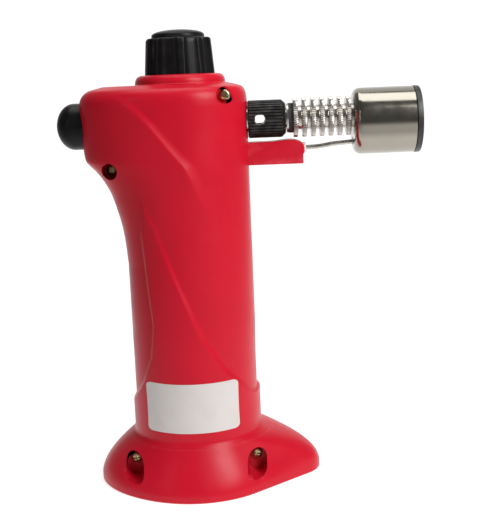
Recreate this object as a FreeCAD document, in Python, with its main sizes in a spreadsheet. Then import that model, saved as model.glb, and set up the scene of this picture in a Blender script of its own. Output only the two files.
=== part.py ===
import FreeCAD, Part
import math
import os

import Sketcher

# Table-top butane torch for jewellery work.
# Frame: +Z up, +X towards the flame, origin on the table under the round body. Millimetres.
# The two housing halves meet on the plane Y = 0; the near half is the -Y one.

SIZES = {
    # housing
    "body_x": (0.5, "axis of the round body"),
    "body_radius": (25.0, "round handle"),
    "sleeve_rise": (1.2, "how far the lower sleeve stands out"),
    "wall": (2.2, "housing wall"),
    "foot_wall": (3.2, "foot wall, measured level"),
    "foot_top": (20.5, "where the flare meets the sleeve"),
    "foot_side": (36.4, "foot half width"),
    "foot_front": (50.0, "foot reach to the front"),
    "foot_rear": (41.0, "foot reach to the rear"),
    "rim_height": (2.5, "upright edge of the foot"),
    "boss_reach": (15.2, "how far the rear boss stands out"),
    "top_z": (160.0, "top of the housing"),
    "top_wall": (2.4, "thickness of the housing top"),
    "collar_radius": (17.7, "raised ring around the knob"),
    "collar_top": (163.8, "top of that ring"),
    "collar_bore": (14.8, "room for the knob in the ring"),
    # knob
    "knob_foot": (160.6, "lower edge of the knob"),
    "knob_top": (177.8, "upper edge of the knob's ribs"),
    "knob_low_radius": (14.0, "rib radius at the lower edge"),
    "knob_high_radius": (12.6, "rib radius at the upper edge"),
    "knob_ribs": (10, "number of ribs"),
    "flute_radius": (7.0, "hollow between two ribs, at the lower edge"),
    "flute_depth": (1.1, "how deep that hollow is"),
    "cap_radius": (10.4, "domed cap"),
    "overall_height": (181.0, "top of the cap"),
    "hub_radius": (3.6, "knob hub through the housing top"),
    "hub_foot": (155.6, "lower end of the hub"),
    # needle valve
    "needle_radius": (1.6, "valve needle"),
    "running": (0.05, "radial running clearance"),
    "needle_top": (165.0, "upper end of the needle"),
    "valve_foot": (127.0, "underside of the valve body"),
    "valve_top": (152.0, "upper face of the valve body"),
    "valve_width": (14.0, "valve body across"),
    "seat_z": (135.0, "needle seat"),
    # burner line
    "burner_z": (145.2, "height of the burner axis"),
    "tube_radius": (5.0, "burner tube under the air collar"),
    "nose_radius": (3.75, "burner tube past the air collar"),
    "tube_bore": (3.0, "burner tube bore"),
    "air_x": (30.7, "middle of the air hole"),
    "air_width": (3.6, "air hole across"),
    "air_length": (4.8, "air hole along the tube"),
    "air_collar_start": (26.0, "air collar, housing end"),
    "air_collar_end": (40.9, "air collar, flame end"),
    "air_collar_radius": (7.4, "over the ribs"),
    "air_ribs": (36, "ribs around the air collar"),
    "sink_start": (43.9, "first face of the heat sink"),
    "fin_count": (7, "cooling fins"),
    "fin_pitch": (3.48, "fin spacing"),
    "fin_width": (1.75, "fin thickness"),
    "fin_radius": (7.65, "fin radius"),
    "core_radius": (4.75, "heat sink between the fins"),
    "head_z": (142.9, "height of the flame head's axis"),
    "head_start": (67.4, "rear face of the flame head"),
    "head_end": (91.5, "front edge of the steel"),
    "head_radius": (13.0, "flame head"),
    "head_wall": (0.7, "sheet thickness"),
    "shoulder": (3.0, "rounding of the head's rear edge"),
    "ring_end": (93.7, "front of the black end ring"),
    # electrode
    "arm_foot": (127.3, "underside of the electrode holder"),
    "arm_top": (136.5, "top of the electrode holder"),
    "arm_end": (47.9, "front of the electrode holder"),
    "arm_width": (8.4, "width of the electrode holder"),
    "wire_z": (133.4, "height of the electrode in its holder"),
    "wire_radius": (0.85, "electrode wire"),
    "insulator_radius": (2.1, "ceramic sleeve"),
    # igniter
    "button_z": (145.0, "height of the button"),
    "button_radius": (9.1, "igniter button"),
    "button_tip": (-49.5, "rear end of the button"),
    "button_travel": (5.0, "how far the button presses in"),
    "button_gap": (0.3, "clearance around the button"),
    "piezo_start": (-30.0, "rear end of the piezo case"),
    "piezo_end": (-8.2, "front end of the piezo case"),
    "piezo_width": (9.0, "piezo case across"),
    "piezo_height": (12.0, "piezo case height"),
    # fuel
    "tank_radius": (20.4, "fuel tank"),
    "tank_foot": (24.1, "underside of the tank"),
    "tank_top": (104.0, "top of the tank"),
    "tank_wall": (1.6, "tank wall"),
    "refill_radius": (4.5, "refill valve"),
    "refill_travel": (1.5, "how far the refill stem presses in"),
    "access_radius": (9.0, "refill opening in the base cover"),
    "cover_height": (2.2, "base cover"),
    # fasteners and sticker
    "screw_head": (2.2, "case screw head radius"),
    "screw_shank": (1.45, "case screw shank radius"),
    "sticker_width": (40.0, "blank sticker, along the curve"),
    "sticker_height": (20.0, "blank sticker"),
    "sticker_z": (35.0, "middle of the sticker"),
    "sticker_thickness": (0.12, "sticker"),
}


class Size(float):
    """A number that also remembers how the spreadsheet works it out."""

    def __new__(cls, value, rule):
        size = float.__new__(cls, value)
        size.rule = rule
        return size

    def _with(self, sign, value, other, swapped=False):
        left, right = rule_of(self), rule_of(other)
        if swapped:
            left, right = right, left
        return Size(value, f"({left} {sign} {right})")

    def __add__(self, other):
        return self._with("+", float(self) + float(other), other)

    def __radd__(self, other):
        return self._with("+", float(other) + float(self), other, True)

    def __sub__(self, other):
        return self._with("-", float(self) - float(other), other)

    def __rsub__(self, other):
        return self._with("-", float(other) - float(self), other, True)

    def __mul__(self, other):
        return self._with("*", float(self) * float(other), other)

    def __rmul__(self, other):
        return self._with("*", float(other) * float(self), other, True)

    def __truediv__(self, other):
        return self._with("/", float(self) / float(other), other)

    def __neg__(self):
        return Size(-float(self), f"(-1 * {self.rule})")


def rule_of(value):
    """The expression text of a Size, or the plain number of anything else."""
    return value.rule if isinstance(value, Size) else f"{float(value):g}"


class Sheet:
    """The driving dimensions: s.wall is the cell with the alias wall."""

    def __init__(self, doc):
        self.cells = doc.addObject("Spreadsheet::Sheet", "Sizes")
        for row, (alias, (value, note)) in enumerate(SIZES.items(), start=1):
            self.cells.set(f"A{row}", note)
            self.cells.set(f"B{row}", str(value))
            self.cells.setAlias(f"B{row}", alias)
        doc.recompute()
        for alias in SIZES:
            setattr(self, alias, Size(float(self.cells.get(alias)), f"Sizes.{alias}"))


doc = FreeCAD.newDocument("butane_torch")
s = Sheet(doc)
nodes = []


# ---------------------------------------------------------------- helpers


def node(piece, label):
    """Names a finished sub-part; its label is also its file name."""
    piece.Label = label
    nodes.append(piece)
    return piece


def bind(piece, prop, value):
    """Sets a property from the sheet."""
    if isinstance(value, Size):
        piece.setExpression(prop, value.rule)
    else:
        setattr(piece, prop, value)


def place(piece, x=0.0, y=0.0, z=0.0, turn=(0, 0, 1, 0)):
    """Puts a piece at x, y, z, turned by (axis x, y, z, degrees)."""
    rotation = FreeCAD.Rotation(FreeCAD.Vector(*turn[:3]), turn[3])
    piece.Placement = FreeCAD.Placement(FreeCAD.Vector(float(x), float(y), float(z)), rotation)
    for axis, value in (("x", x), ("y", y), ("z", z)):
        if isinstance(value, Size):
            piece.setExpression(f"Placement.Base.{axis}", value.rule)
    return piece


def origin_plane(body, role):
    return next(f for f in body.Origin.OriginFeatures if f.Role == role)


def sketch_on(body, name, role, lift):
    """An empty sketch on one of the body's origin planes, or lifted off it."""
    sketch = body.newObject("Sketcher::SketchObject", name)
    sketch.AttachmentSupport = (origin_plane(body, role), [""])
    sketch.MapMode = "FlatFace"
    sketch.AttachmentOffset = FreeCAD.Placement(FreeCAD.Vector(0, 0, float(lift)), FreeCAD.Rotation())
    if isinstance(lift, Size):
        sketch.setExpression("AttachmentOffset.Base.z", lift.rule)
    return sketch


def outline(body, name, role, points, lift=0.0):
    """A closed sketch of straight sides, each corner held by its distances from the origin."""
    sketch = sketch_on(body, name, role, lift)
    corners = [FreeCAD.Vector(float(u), float(v), 0) for u, v in points]
    for i, corner in enumerate(corners):
        sketch.addGeometry(Part.LineSegment(corner, corners[(i + 1) % len(corners)]), False)
    for i in range(len(corners)):
        sketch.addConstraint(Sketcher.Constraint("Coincident", i, 2, (i + 1) % len(corners), 1))
    for i, (u, v) in enumerate(points):
        for kind, value, axis in (("DistanceX", u, -2), ("DistanceY", v, -1)):
            if abs(float(value)) < 1e-9:
                sketch.addConstraint(Sketcher.Constraint("PointOnObject", i, 1, axis))
                continue
            held = sketch.addConstraint(Sketcher.Constraint(kind, -1, 1, i, 1, float(value)))
            if isinstance(value, Size):
                sketch.setExpression(f"Constraints[{held}]", value.rule)
    return sketch


def turned(name, along, points):
    """A turned body. Points are (distance along the axis, radius) for X, (radius, height) for Z."""
    body = doc.addObject("PartDesign::Body", name)
    profile = outline(body, f"{name}_profile", "XZ_Plane", points)
    revolution = body.newObject("PartDesign::Revolution", f"{name}_revolution")
    revolution.Profile = profile
    revolution.ReferenceAxis = (profile, ["H_Axis" if along == "X" else "V_Axis"])
    revolution.Angle = 360
    profile.Visibility = False
    return body


def circles(body, name, role, centres, radius, lift=0.0):
    """A sketch of equal circles, each held by its centre and radius."""
    sketch = sketch_on(body, name, role, lift)
    for u, v in centres:
        centre = FreeCAD.Vector(float(u), float(v), 0)
        circle = sketch.addGeometry(Part.Circle(centre, FreeCAD.Vector(0, 0, 1), float(radius)), False)
        held = sketch.addConstraint(Sketcher.Constraint("Radius", circle, float(radius)))
        if isinstance(radius, Size):
            sketch.setExpression(f"Constraints[{held}]", radius.rule)
        for kind, value, axis in (("DistanceX", u, -2), ("DistanceY", v, -1)):
            if abs(float(value)) < 1e-9:
                sketch.addConstraint(Sketcher.Constraint("PointOnObject", circle, 3, axis))
                continue
            held = sketch.addConstraint(Sketcher.Constraint(kind, -1, 1, circle, 3, float(value)))
            if isinstance(value, Size):
                sketch.setExpression(f"Constraints[{held}]", value.rule)
    return sketch


def padded(body, sketch, length, midplane=False):
    pad = body.newObject("PartDesign::Pad", f"{sketch.Name}_pad")
    pad.Profile = sketch
    pad.Length = float(length)
    bind(pad, "Length", length)
    pad.Midplane = midplane
    return pad


def pocketed(body, sketch, length=None, midplane=False, reverse=False):
    """A pocket of a set length, or through everything; it must really remove metal."""
    doc.recompute()
    before = body.Shape.Volume
    pocket = body.newObject("PartDesign::Pocket", f"{sketch.Name}_pocket")
    pocket.Profile = sketch
    if length is None:
        pocket.Type = "ThroughAll"
    else:
        pocket.Length = float(length)
        bind(pocket, "Length", length)
    pocket.Midplane = midplane
    pocket.Reversed = reverse
    doc.recompute()
    if body.Shape.Volume >= before - 1e-6:
        raise RuntimeError(f"{pocket.Name} cuts nothing")
    return pocket


def patterned(body, feature, sketch, axis, count):
    """Repeats a feature evenly around a sketch axis."""
    pattern = body.newObject("PartDesign::PolarPattern", f"{feature.Name}_pattern")
    pattern.Originals = [feature]
    pattern.Axis = (sketch, [axis])
    pattern.Angle = 360
    pattern.Occurrences = int(count)
    bind(pattern, "Occurrences", count)
    body.Tip = pattern
    return pattern


def box(name, corner, size):
    piece = doc.addObject("Part::Box", name)
    for prop, value in zip(("Length", "Width", "Height"), size):
        bind(piece, prop, value)
    return place(piece, *corner)


def rod(name, foot, radius, length, along="Z"):
    piece = doc.addObject("Part::Cylinder", name)
    bind(piece, "Radius", radius)
    bind(piece, "Height", length)
    turn = {"Z": (0, 0, 1, 0), "X": (0, 1, 0, 90), "Y": (1, 0, 0, -90)}[along]
    return place(piece, *foot, turn=turn)


def joined(name, pieces):
    piece = doc.addObject("Part::MultiFuse", name)
    piece.Shapes = pieces
    return piece


def cut(name, base, tool):
    piece = doc.addObject("Part::Cut", name)
    piece.Base = base
    piece.Tool = tool
    return piece


def shaped(name, shape):
    """A free-form piece, made with Part's own functions."""
    piece = doc.addObject("Part::Feature", name)
    piece.Shape = shape
    return piece


# ---------------------------------------------------------------- housing

PLAN_POINTS = 32
REAR_LINE = [  # height, how far the rear stands out past the round body
    (90, 0.0), (100, 0.8), (107, 1.9), (115, 3.9), (120, 5.7), (125, 8.5),
    (128, 10.9), (130, 12.8), (133, 14.3), (145, 15.2), (152, 15.2),
]  # fmt: skip
TOP_LINE = [  # height, how far the edge has rounded in
    (152, 0.0), (155, 0.3), (157, 1.1), (158.5, 2.6), (159.4, 5.0), (160, 7.0),
]  # fmt: skip
FRONT_POWER, SIDE_POWER, REAR_POWER = 1.4, 1.1, 1.05
FRONT_NOSE = 12.0
FOOT_LEVELS = [0.0, 2.5, 4.5, 8.0, 12.0, 16.0, 20.5]
HANDLE_LEVELS = [20.5] + [z for z, _ in REAR_LINE] + [z for z, _ in TOP_LINE[1:]]
BAND = [  # the raised sleeve and its swoosh, as x, z
    (-40, 20.5), (40, 20.5), (40, 36), (26, 36), (14, 50), (6, 64), (1, 77), (-4, 90),
    (-10, 107), (-16, 120), (-17.5, 104), (-16, 84), (-14.5, 68), (-16, 55), (-20, 44),
    (-26, 33), (-40, 33),
]  # fmt: skip

# screw: x and z of its axis, y of the seat under its head, well radius, how far the well runs down
WELLS = {
    "top": (17.6, 155.3, -15.0, 3.3, 0.0),
    "rear": (-28.0, 128.0, -6.0, 3.3, 0.0),
    "foot_front": (24.4, 11.9, -14.0, 3.9, 2.9),
    "foot_rear": (-24.4, 11.9, -14.0, 3.9, 2.9),
}
LONG_SCREW, SHORT_SCREW = 20.0, 12.0
BASE_SCREWS = [(-8.0, -25.0), (-8.0, 25.0)]
WELL_WALL = 1.5
FAR = 60.0


def between(table, z):
    """Reads a two-column table at z, in straight steps."""
    if z <= table[0][0]:
        return table[0][1]
    for (z0, v0), (z1, v1) in zip(table, table[1:]):
        if z <= z1:
            return v0 + (v1 - v0) * (z - z0) / (z1 - z0)
    return table[-1][1]


def angles():
    return [2 * math.pi * i / PLAN_POINTS for i in range(PLAN_POINTS)]


def foot_plan(side, front, nose, rear):
    """The foot's egg shape: a circle drawn out to a rounded nose in front and a little behind."""
    offset = max(front - nose, 1e-6)
    lean = math.acos(min(1.0, (side - nose) / offset))
    touch = math.atan2(nose * math.sin(lean), offset + nose * math.cos(lean))
    points = []
    for angle in angles():
        away = min(angle, 2 * math.pi - angle)
        if front - side < 1e-3 or away > lean:
            reach = side
        elif away < touch:
            reach = offset * math.cos(away) + math.sqrt(nose**2 - (offset * math.sin(away)) ** 2)
        else:
            reach = side / math.cos(lean - away)
        if math.cos(angle) < 0:
            reach += (rear - side) * math.cos(angle) ** 4
        points.append((reach * math.cos(angle), reach * math.sin(angle)))
    return points


def handle_plan(side, reach):
    """A round section whose rear half is drawn out to a blunt, tapered boss."""
    swell = reach / float(s.boss_reach)
    power, taper = 2.0 + swell, 0.3 * swell
    points = []
    for angle in angles():
        along, across = math.cos(angle), math.sin(angle)
        if along > -1e-9:
            points.append((side * along, side * across))
            continue
        u = abs(along) ** (2 / power)
        v = abs(across) ** (2 / power) * (1 - taper * u * u)
        points.append((-(side + reach) * u, math.copysign(side * v, across)))
    return points


def closed_curve(points, z):
    corners = [FreeCAD.Vector(float(s.body_x) + x, y, float(z)) for x, y in points]
    curve = Part.BSplineCurve()
    curve.interpolate(corners, True)
    return Part.Wire(curve.toShape())


def foot_section(z, inset):
    """The flare at height z, moved in by inset."""
    climb = max(0.0, (z - float(s.rim_height)) / float(s.foot_top - s.rim_height))
    sleeve = float(s.body_radius + s.sleeve_rise)

    def spread(rim, power):
        return sleeve + (rim - sleeve) * (1 - climb**power) - inset

    side = spread(float(s.foot_side), SIDE_POWER)
    front = spread(float(s.foot_front), FRONT_POWER)
    nose = spread(FRONT_NOSE, FRONT_POWER)
    rear = spread(float(s.foot_rear), REAR_POWER)
    return closed_curve(foot_plan(side, front, nose, rear), z)


def handle_section(z, inset):
    """The handle at height z, moved in by inset."""
    side = float(s.body_radius) - inset - between(TOP_LINE, z)
    return closed_curve(handle_plan(side, between(REAR_LINE, z)), z)


def loft(make_section, levels, inset):
    return Part.makeLoft([make_section(float(z), float(inset)) for z in levels], True, True)


def cylinder(x, y, z, radius, length, direction):
    foot = FreeCAD.Vector(float(x), float(y), float(z))
    return Part.makeCylinder(float(radius), float(length), foot, FreeCAD.Vector(*direction))


def slab(x0, x1, y0, y1, z0, z1):
    corner = FreeCAD.Vector(float(x0), float(y0), float(z0))
    return Part.makeBox(float(x1 - x0), float(y1 - y0), float(z1 - z0), corner)


def upright_oval(x, z, y0, y1, radius, drop):
    """A hole along Y from y0 to y1, round or drawn out downwards by drop."""
    hole = cylinder(x, y0, z, radius, y1 - y0, (0, 1, 0))
    if drop:
        hole = hole.fuse(cylinder(x, y0, z - drop, radius, y1 - y0, (0, 1, 0)))
        hole = hole.fuse(slab(x - radius, x + radius, y0, y1, z - drop, z))
    return hole.removeSplitter()


def housing_inside():
    """The space inside the housing."""
    ceiling = float(s.top_z - s.top_wall)
    levels = [z for z in HANDLE_LEVELS if z < ceiling] + [ceiling]
    handle = loft(handle_section, levels, s.wall)
    foot = loft(foot_section, FOOT_LEVELS, s.foot_wall)
    return handle.fuse(foot)


def housing_outside():
    """The housing filled in: foot, handle, sleeve with its swoosh, and the ring around the knob."""
    foot = loft(foot_section, FOOT_LEVELS, 0)
    handle = loft(handle_section, HANDLE_LEVELS, 0)
    band_edge = Part.makePolygon([FreeCAD.Vector(x, -FAR, z) for x, z in BAND + BAND[:1]])
    band = Part.Face(band_edge).extrude(FreeCAD.Vector(0, 2 * FAR, 0))
    raised = loft(handle_section, [20.5, 90, 100, 107, 115, 120], -s.sleeve_rise).common(band)
    ring_foot = float(s.top_z) - 2.0
    ring = cylinder(0, 0, ring_foot, s.collar_radius, float(s.collar_top) - ring_foot, (0, 0, 1))
    upper = [e for e in ring.Edges if e.BoundBox.ZMin > float(s.collar_top) - 0.1]
    ring = ring.makeFillet(2.2, upper)
    return foot.fuse([handle, raised, ring])


def housing_ribs():
    """Tank collars, the shelf under the valve and two cradles under the piezo case."""
    hole = cylinder(0, 0, 0, 12, 200, (0, 0, 1))
    valve_hole = cylinder(0, 0, 0, 3, 200, (0, 0, 1))
    return [
        slab(-FAR, FAR, -FAR, FAR, 22, 24).cut(hole),
        slab(-FAR, FAR, -FAR, FAR, 106.5, 108.5).cut(hole),
        slab(-9, 9, -FAR, FAR, 124.5, 126.9).cut(valve_hole),
        slab(-22, -20, -FAR, FAR, 124.5, 138.9),
        slab(-14, -12, -FAR, FAR, 124.5, 138.9),
    ]


def housing_halves():
    """The near and far halves, with their bosses, wells and openings."""
    inside = housing_inside()
    outside = housing_outside()
    case = outside.cut(inside)
    inner = housing_ribs()
    for x, y in BASE_SCREWS:
        inner.append(cylinder(x, y, s.cover_height, 3.0, 20.0, (0, 0, 1)))
    near_only, far_only, near_holes, far_holes = [], [], [], []
    for x, z, seat, radius, drop in WELLS.values():
        near_only.append(upright_oval(x, z, -FAR, 0.0, radius + WELL_WALL, drop))
        far_only.append(cylinder(x, 0, z, 3.2, FAR, (0, 1, 0)))
        near_holes.append(upright_oval(x, z, -FAR, seat, radius, drop))
        near_holes.append(cylinder(x, seat - 1, z, s.screw_shank + 0.2, 1 - seat + 1, (0, 1, 0)))
        far_holes.append(cylinder(x, -1, z, s.screw_shank + 0.02, 9.0, (0, 1, 0)))
    openings = [
        cylinder(0, 0, s.knob_foot - 0.4, s.collar_bore, 10, (0, 0, 1)),
        cylinder(0, 0, 150, s.hub_radius + 0.3, 20, (0, 0, 1)),
        cylinder(-FAR, 0, s.button_z, s.button_radius + s.button_gap, FAR - 30, (1, 0, 0)),
        cylinder(18, 0, s.burner_z, s.tube_radius + 0.1, 20, (1, 0, 0)),
        slab(18, 30, -s.arm_width / 2 - 0.1, s.arm_width / 2 + 0.1, s.arm_foot - 0.1, s.arm_top + 0.1),
    ]
    tab_room = slab(-40, -28, -3.3, 3.3, s.button_z - 10.9, s.button_z + 10.9)
    openings.append(tab_room.common(inside))
    for x, y in BASE_SCREWS:
        openings.append(cylinder(x, y, 0, 1.27, 14, (0, 0, 1)))
    halves = []
    for name, sign, extra, holes in (
        ("housing_near", -1, near_only, near_holes),
        ("housing_far", 1, far_only, far_holes),
    ):
        side = slab(-80, 80, min(0, sign * 80), max(0, sign * 80), -10, 200)
        lining = Part.makeCompound(inner + extra).common(inside).common(side)
        half = case.common(side).fuse(lining.Solids)
        half = half.cut(openings + holes)
        half = max(half.Solids, key=lambda solid: solid.Volume)
        halves.append(node(shaped(name, half), name))
    return halves


def base_cover():
    """Plate that closes the foot, with the refill opening and two countersunk screw holes."""
    edge = foot_section(0.0, float(s.foot_wall) + 0.3)
    plate = Part.Face(edge).extrude(FreeCAD.Vector(0, 0, float(s.cover_height) - 0.1))
    plate = plate.cut(cylinder(0, 0, -1, s.access_radius, 5, (0, 0, 1)))
    for x, y in BASE_SCREWS:
        plate = plate.cut(cylinder(x, y, -1, 1.6, 5, (0, 0, 1)))
        plate = plate.cut(cylinder(x, y, -1, 2.6, 2.0, (0, 0, 1)))
    return node(shaped("base_cover", plate), "base_cover")


def sticker():
    """Blank self-adhesive label with rounded corners, wrapped on the sleeve."""
    inner = float(s.body_radius + s.sleeve_rise) + 0.03
    outer = inner + float(s.sticker_thickness)
    low = float(s.sticker_z - s.sticker_height / 2)
    skin = cylinder(s.body_x, 0, low, outer, s.sticker_height, (0, 0, 1))
    skin = skin.cut(cylinder(s.body_x, 0, low - 1, inner, s.sticker_height + 2, (0, 0, 1)))
    half = outer * math.sin(float(s.sticker_width) / 2 / outer)
    middle = float(s.body_x) - 1.0
    window = slab(middle - half, middle + half, -FAR, 0, low, low + float(s.sticker_height))
    window = window.makeFillet(2.0, [e for e in window.Edges if e.BoundBox.YLength > FAR - 1])
    return node(shaped("label_sticker", skin.common(window)), "label_sticker")


# ---------------------------------------------------------------- screws


def screw(head_radius, head_height, shank_radius, length):
    """A cross-head screw pointing along +Z, its seat at the origin."""
    head = Part.makeCylinder(head_radius, head_height, FreeCAD.Vector(0, 0, -head_height))
    head = head.makeFillet(head_height * 0.4, [e for e in head.Edges if e.BoundBox.ZMax < -head_height / 2])
    shank = Part.makeCylinder(shank_radius, length - shank_radius)
    tip = Part.makeCone(shank_radius, 0.3, shank_radius, FreeCAD.Vector(0, 0, length - shank_radius))
    arm, depth = head_radius * 0.62, head_height * 0.6
    cross = slab(-arm, arm, -0.28, 0.28, -head_height - 1, -head_height + depth)
    cross = cross.fuse(slab(-0.28, 0.28, -arm, arm, -head_height - 1, -head_height + depth))
    return head.fuse([shank, tip]).cut(cross)


def screws(name, seats, length, direction, head_height=1.5):
    """One node of like screws, each with its seat at one of the given points."""
    turn = FreeCAD.Rotation(FreeCAD.Vector(0, 0, 1), FreeCAD.Vector(*direction))
    solids = []
    for seat in seats:
        one = screw(float(s.screw_head), head_height, float(s.screw_shank), length)
        one.Placement = FreeCAD.Placement(FreeCAD.Vector(*seat), turn)
        solids.append(one)
    shape = solids[0] if len(solids) == 1 else Part.makeCompound(solids)
    return node(shaped(name, shape), name)


def case_screws():
    long_seats = [(x, seat, z) for name, (x, z, seat, _, _) in WELLS.items() if name != "rear"]
    x, z, seat, _, _ = WELLS["rear"]
    screws("case_screws", long_seats, LONG_SCREW, (0, 1, 0))
    screws("rear_screw", [(x, seat, z)], SHORT_SCREW, (0, 1, 0))


def base_screws():
    solids = []
    for x, y in BASE_SCREWS:
        one = screw(2.4, 0.9, 1.25, 9.0)
        one.translate(FreeCAD.Vector(x, y, 1.0))
        solids.append(one)
    return node(shaped("base_screws", Part.makeCompound(solids)), "base_screws")


# ---------------------------------------------------------------- knob and needle


KNOB_TURN = 7.8  # where the first hollow lies, measured from +X
FLUTE_TAPER = 3.7  # the hollows widen upwards as the knob narrows
PUSH_FIT = 0.02  # clearance of the needle in the hub


def control_knob():
    """Fluted, slightly tapered hand wheel, hollow below, on a hub with a groove for its clip."""
    socket = s.needle_radius + PUSH_FIT
    body = turned("control_knob", "Z", [
        (socket, s.hub_foot), (s.hub_radius, s.hub_foot), (s.hub_radius, s.hub_foot + 0.8),
        (s.hub_radius - 0.6, s.hub_foot + 0.8), (s.hub_radius - 0.6, s.hub_foot + 1.7),
        (s.hub_radius, s.hub_foot + 1.7), (s.hub_radius, s.knob_foot + 12),
        (s.knob_high_radius - 2.6, s.knob_foot + 12), (s.knob_low_radius - 2.4, s.knob_foot),
        (s.knob_low_radius, s.knob_foot), (s.knob_high_radius, s.knob_top),
        (s.cap_radius - 2, s.knob_top), (s.cap_radius - 2, s.knob_top - 2), (0, s.knob_top - 2),
        (0, s.needle_top + 2), (socket, s.needle_top + 2),
    ])  # fmt: skip
    doc.recompute()
    centre = s.knob_low_radius - s.flute_depth + s.flute_radius
    flute = circles(body, "knob_flute", "XY_Plane", [(centre, 0)], s.flute_radius, s.knob_foot)
    cutter = pocketed(body, flute, s.knob_top - s.knob_foot + 1, reverse=True)
    cutter.TaperAngle = FLUTE_TAPER
    patterned(body, cutter, flute, "N_Axis", s.knob_ribs)
    return node(place(body, turn=(0, 0, 1, KNOB_TURN)), "control_knob")


def knob_cap():
    """Domed cap with a short spigot; the dome is a ball's cap."""
    spigot = s.cap_radius - 2.05
    dome = s.overall_height - s.knob_top
    rim = dome * 0.3
    points = [
        (0, s.knob_top - 2), (spigot, s.knob_top - 2), (spigot, s.knob_top),
        (s.cap_radius, s.knob_top), (s.cap_radius, s.knob_top + rim),
        (s.cap_radius * 0.84, s.knob_top + dome * 0.68), (s.cap_radius * 0.6, s.knob_top + dome * 0.87),
        (s.cap_radius * 0.3, s.knob_top + dome * 0.97), (0, s.overall_height),
    ]  # fmt: skip
    return node(turned("knob_cap", "Z", points), "knob_cap")


def knob_clip():
    body = turned("knob_clip", "Z", [
        (s.hub_radius - 0.55, s.hub_foot + 0.9), (s.hub_radius + 1.6, s.hub_foot + 0.9),
        (s.hub_radius + 1.6, s.hub_foot + 1.6), (s.hub_radius - 0.55, s.hub_foot + 1.6),
    ])  # fmt: skip
    return node(body, "knob_clip")


def valve_needle():
    """Needle with a fine tip, a slim waist beside the gas outlet and a shank up into the knob."""
    waist = s.needle_radius - 0.6
    body = turned("valve_needle", "Z", [
        (0, s.seat_z + 0.1), (0.25, s.seat_z + 0.1), (waist, s.seat_z + 2.5), (waist, s.burner_z + 1.9),
        (s.needle_radius, s.burner_z + 2.9), (s.needle_radius, s.needle_top - 0.4),
        (s.needle_radius - 0.4, s.needle_top), (0, s.needle_top),
    ])  # fmt: skip
    return node(body, "valve_needle")


def valve_body():
    """Square brass block on the shelf, bored for the needle, the supply tube and the jet holder."""
    half = s.valve_width / 2
    block = box("valve_block", (-half, -half, s.valve_foot), (s.valve_width, s.valve_width, 22))
    neck = rod("valve_neck", (0, 0, s.valve_top - 4), s.valve_width / 2 - 1, 4)
    solid = joined("valve_solid", [block, neck])
    bores = joined("valve_bores", [
        rod("needle_bore", (0, 0, s.seat_z), s.needle_radius + s.running, 20),
        rod("gland_bore", (0, 0, s.valve_top - 3), 3.02, 5),
        rod("seat_bore", (0, 0, s.valve_foot - 1), 0.9, 10),
        rod("supply_socket", (0, 0, s.valve_foot - 1), s.needle_radius + s.running, 3),
        rod("outlet", (0, 0, s.burner_z), 1.5, 10, "X"),
        rod("jet_socket", (4, 0, s.burner_z), s.tube_bore, 10, "X"),
    ])  # fmt: skip
    return node(cut("valve_body", solid, bores), "valve_body")


def gland():
    """Rubber ring round the needle and the hexagon nut that holds it."""
    ring_in, ring_out = s.needle_radius + 0.02, 3.0
    foot = s.valve_top - 2.95
    ring = turned("needle_ring", "Z", [
        (ring_in, foot), (ring_out, foot), (ring_out, foot + 1.15), (ring_in, foot + 1.15),
    ])  # fmt: skip
    node(ring, "needle_ring")
    hexagon = doc.addObject("Part::Prism", "gland_hexagon")
    hexagon.Polygon = 6
    hexagon.Circumradius = 5.6
    hexagon.Height = 3.0
    place(hexagon, 0, 0, s.valve_top + 0.02)
    spigot = rod("gland_spigot", (0, 0, s.valve_top - 1.75), 3.0, 2.5)
    hole = rod("gland_hole", (0, 0, s.valve_top - 3), s.needle_radius + 0.1, 10)
    return node(cut("valve_nut", joined("gland_solid", [hexagon, spigot]), hole), "valve_nut")


# ---------------------------------------------------------------- fuel


def fuel_tank():
    """Closed tank with a hole at each end for its fittings."""
    inner = s.tank_radius - s.tank_wall
    top, foot, corner = s.tank_top, s.tank_foot, 3.0
    body = turned("fuel_tank", "Z", [
        (s.refill_radius + 0.05, foot), (s.tank_radius - corner, foot), (s.tank_radius, foot + corner),
        (s.tank_radius, top - corner), (s.tank_radius - corner, top), (3.6, top),
        (3.6, top - s.tank_wall), (inner - corner, top - s.tank_wall), (inner, top - s.tank_wall - corner),
        (inner, foot + s.tank_wall + corner), (inner - corner, foot + s.tank_wall),
        (s.refill_radius + 0.05, foot + s.tank_wall),
    ])  # fmt: skip
    return node(body, "fuel_tank")


def tank_fittings():
    top = s.tank_top
    plug = turned("tank_plug", "Z", [
        (0.9, top - 5), (1.55, top - 5), (1.55, top - 8), (3.5, top - 8), (3.5, top + 0.9), (5.6, top + 0.9),
        (5.6, top + 2.2), (3.4, top + 2.2), (3.4, top + 5), (s.needle_radius + 0.02, top + 5),
        (s.needle_radius + 0.02, top), (0.9, top),
    ])  # fmt: skip
    node(plug, "tank_plug")
    seal = turned("tank_seal", "Z", [(3.6, top), (5.6, top), (5.6, top + 0.88), (3.6, top + 0.88)])
    node(seal, "tank_seal")
    tube = turned("supply_tube", "Z", [
        (0.9, top + 0.1), (s.needle_radius, top + 0.1), (s.needle_radius, s.valve_foot + 1.9),
        (0.9, s.valve_foot + 1.9),
    ])  # fmt: skip
    node(tube, "supply_tube")
    dip = turned("dip_tube", "Z", [(0.9, 33), (1.5, 33), (1.5, top - 5.1), (0.9, top - 5.1)])
    node(dip, "dip_tube")


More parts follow.
